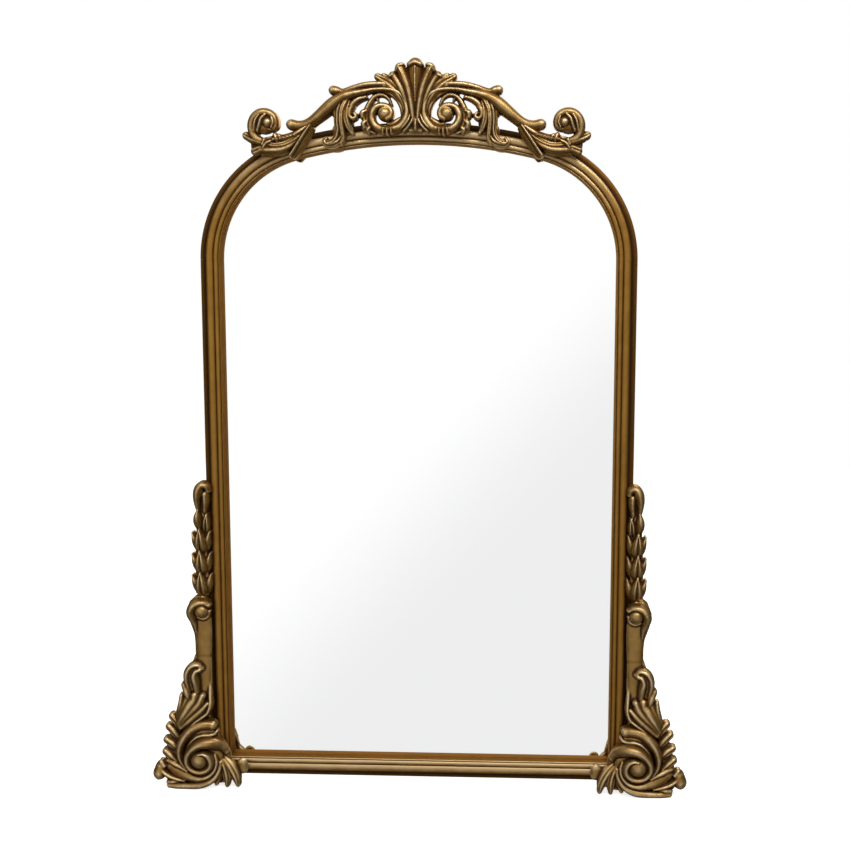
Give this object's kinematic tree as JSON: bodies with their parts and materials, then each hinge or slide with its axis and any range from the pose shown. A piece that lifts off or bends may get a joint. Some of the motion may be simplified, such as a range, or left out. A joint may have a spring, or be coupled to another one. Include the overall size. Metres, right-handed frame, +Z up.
{
  "type": "pier mirror",
  "caption": "Arched pier mirror: reeded antique-gold frame, pierced scroll and palmette crest, laurel side drops and carved scroll feet, with hanging rings behind.",
  "frame": {"origin": "on the floor, under the middle of the whole mirror", "axes": "+Z up, the mirror faces -Y, +Y is towards the wall, +X to the right of someone who looks into it"},
  "size_m": [1.1298, 0.0984, 1.4993],
  "materials": {
    "gilt_moulding": "antique gold leaf, rubbed and dark toned, satin",
    "gilt_carving": "antique gold leaf with dark brown toning in the recesses, satin",
    "mirror": "silvered float glass, polished",
    "board": "raw hardboard, matt",
    "steel": "zinc plated steel, satin",
    "rubber": "black rubber, matt"
  },
  "bodies": {
    "mirror": {"arch_head": "gilt_moulding", "left_stile": "gilt_moulding", "right_stile": "gilt_moulding", "bottom_rail": "gilt_moulding", "crest_shell": "gilt_carving", "crest_scroll_left": "gilt_carving", "crest_scroll_right": "gilt_carving", "crest_branch_left": "gilt_carving", "crest_branch_right": "gilt_carving", "laurel_drop_left": "gilt_carving", "laurel_drop_right": "gilt_carving", "console_left": "gilt_carving", "console_right": "gilt_carving", "foot_left": "gilt_carving", "foot_right": "gilt_carving", "mirror_glass": "mirror", "backing_board": "board", "clip_1": "steel", "clip_2": "steel", "clip_3": "steel", "clip_4": "steel", "clip_5": "steel", "clip_6": "steel", "clip_7": "steel", "clip_8": "steel", "clip_screw_1": "steel", "clip_screw_2": "steel", "clip_screw_3": "steel", "clip_screw_4": "steel", "clip_screw_5": "steel", "clip_screw_6": "steel", "clip_screw_7": "steel", "clip_screw_8": "steel", "hanger_plate_left": "steel", "hanger_plate_right": "steel", "hanger_screw_left_1": "steel", "hanger_screw_left_2": "steel", "hanger_screw_right_1": "steel", "hanger_screw_right_2": "steel", "bumper_left": "rubber", "bumper_right": "rubber"},
    "ring_left": {"hanger_ring_left": "steel"},
    "ring_right": {"hanger_ring_right": "steel"}
  },
  "joints": [
    {"name": "ring_left_swing", "type": "hinge", "parent": "mirror", "child": "ring_left", "pos_m": [-0.42825, 0.04515, 1.01], "axis": [1, 0, 0], "range_deg": [0, 175]},
    {"name": "ring_right_swing", "type": "hinge", "parent": "mirror", "child": "ring_right", "pos_m": [0.42825, 0.04515, 1.01], "axis": [1, 0, 0], "range_deg": [0, 175]}
  ]
}
